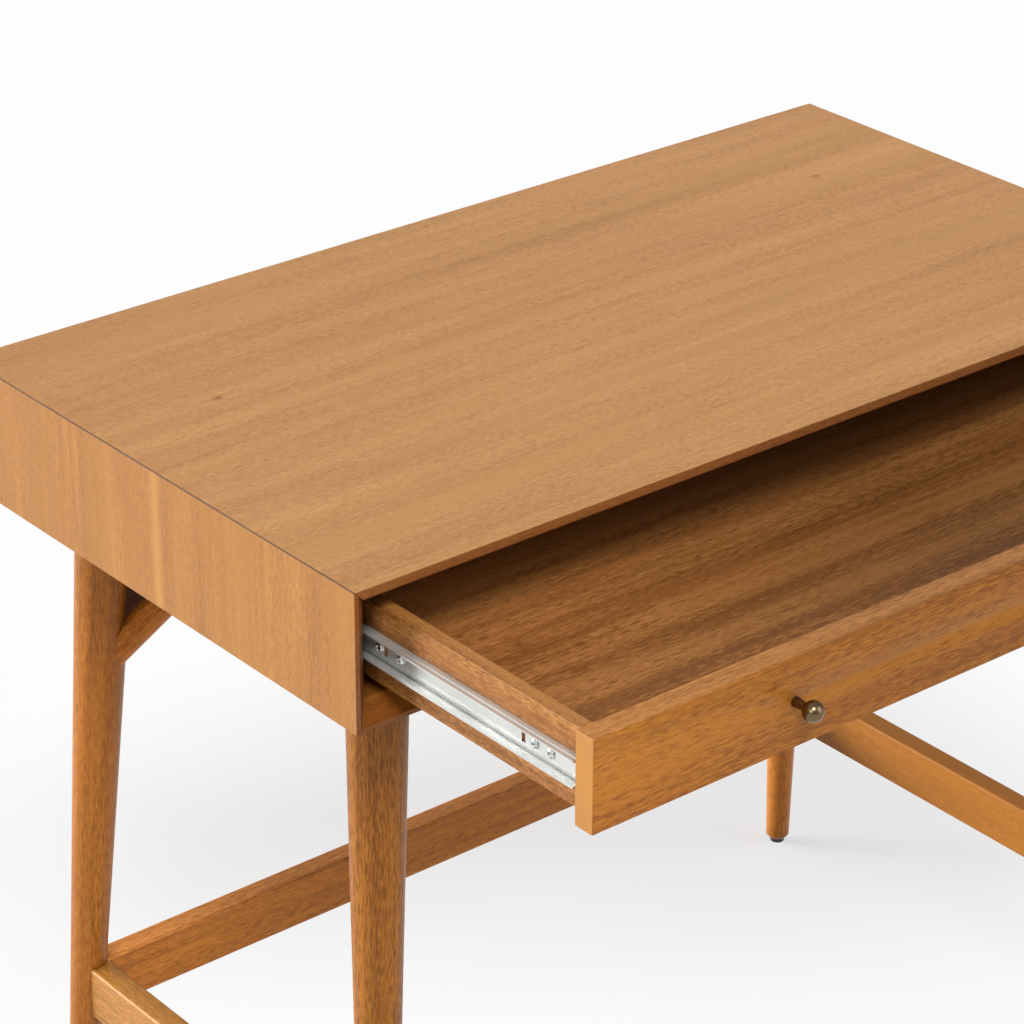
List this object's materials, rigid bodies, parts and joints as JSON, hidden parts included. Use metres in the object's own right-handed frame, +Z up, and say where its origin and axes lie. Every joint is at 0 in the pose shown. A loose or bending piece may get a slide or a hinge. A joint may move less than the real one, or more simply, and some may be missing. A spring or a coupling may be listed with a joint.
{
  "type": "writing desk",
  "caption": "Wooden writing desk with a mitred, bevel-edged case, a wide drawer on ball-bearing slides, splayed round legs with braces, and low stretchers.",
  "frame": {"origin": "On the floor, at the middle of the outline of the desk with its drawer at rest, pulled open.", "axes": "+X to the right as seen from the front, +Y from the front to the back, +Z up."},
  "size_m": [0.9144, 0.764, 0.771],
  "materials": {
    "top_wood": "satin lacquer on straight-grained veneer",
    "case_wood": "satin lacquer on straight-grained veneer",
    "leg_wood": "satin lacquer on solid wood",
    "drawer_front_wood": "satin lacquer on straight-grained veneer",
    "drawer_box_wood": "satin stain on solid wood",
    "drawer_bottom_wood": "satin stain on veneer",
    "dowel_wood": "bare wood",
    "zinc": "bright zinc plating",
    "steel": "zinc plating",
    "ball_steel": "polished",
    "bronze": "polished antique bronze",
    "glide_plastic": "moulded"
  },
  "bodies": {
    "desk_frame": {"top_panel": "top_wood", "bottom_panel": "case_wood", "left_side_panel": "case_wood", "right_side_panel": "case_wood", "back_panel": "case_wood", "front_left_leg": "leg_wood", "front_right_leg": "leg_wood", "back_left_leg": "leg_wood", "back_right_leg": "leg_wood", "front_left_brace": "leg_wood", "front_right_brace": "leg_wood", "back_left_brace": "leg_wood", "back_right_brace": "leg_wood", "left_stretcher": "leg_wood", "right_stretcher": "leg_wood", "back_stretcher": "leg_wood", "leg_bolts": "steel", "leg_nuts": "steel", "brace_screws": "steel", "brace_dowels": "dowel_wood", "stretcher_dowels": "dowel_wood", "foot_glides": "glide_plastic", "left_cabinet_slide": "zinc", "right_cabinet_slide": "zinc", "cabinet_slide_screws": "steel"},
    "drawer": {"drawer_front": "drawer_front_wood", "left_drawer_side": "drawer_box_wood", "right_drawer_side": "drawer_box_wood", "drawer_back": "drawer_box_wood", "drawer_bottom": "drawer_bottom_wood", "drawer_dowels": "dowel_wood", "left_knob": "bronze", "right_knob": "bronze", "knob_screws": "steel", "left_drawer_slide": "zinc", "right_drawer_slide": "zinc", "drawer_slide_screws": "steel"},
    "left_cage": {"left_ball_cage": "steel", "left_slide_balls": "ball_steel"},
    "right_cage": {"right_ball_cage": "steel", "right_slide_balls": "ball_steel"}
  },
  "joints": [
    {"name": "drawer_slide", "type": "slide", "parent": "desk_frame", "child": "drawer", "axis": [0, -1, 0], "range_m": [-0.2455, 0.0545]},
    {"name": "left_cage_slide", "type": "slide", "parent": "desk_frame", "child": "left_cage", "axis": [0, -1, 0], "range_m": [-0.12275, 0.02725]},
    {"name": "right_cage_slide", "type": "slide", "parent": "desk_frame", "child": "right_cage", "axis": [0, -1, 0], "range_m": [-0.12275, 0.02725]}
  ],
  "couplings": [
    {"joint": "left_cage_slide", "follows": "drawer_slide", "ratio": 0.5},
    {"joint": "right_cage_slide", "follows": "drawer_slide", "ratio": 0.5}
  ]
}
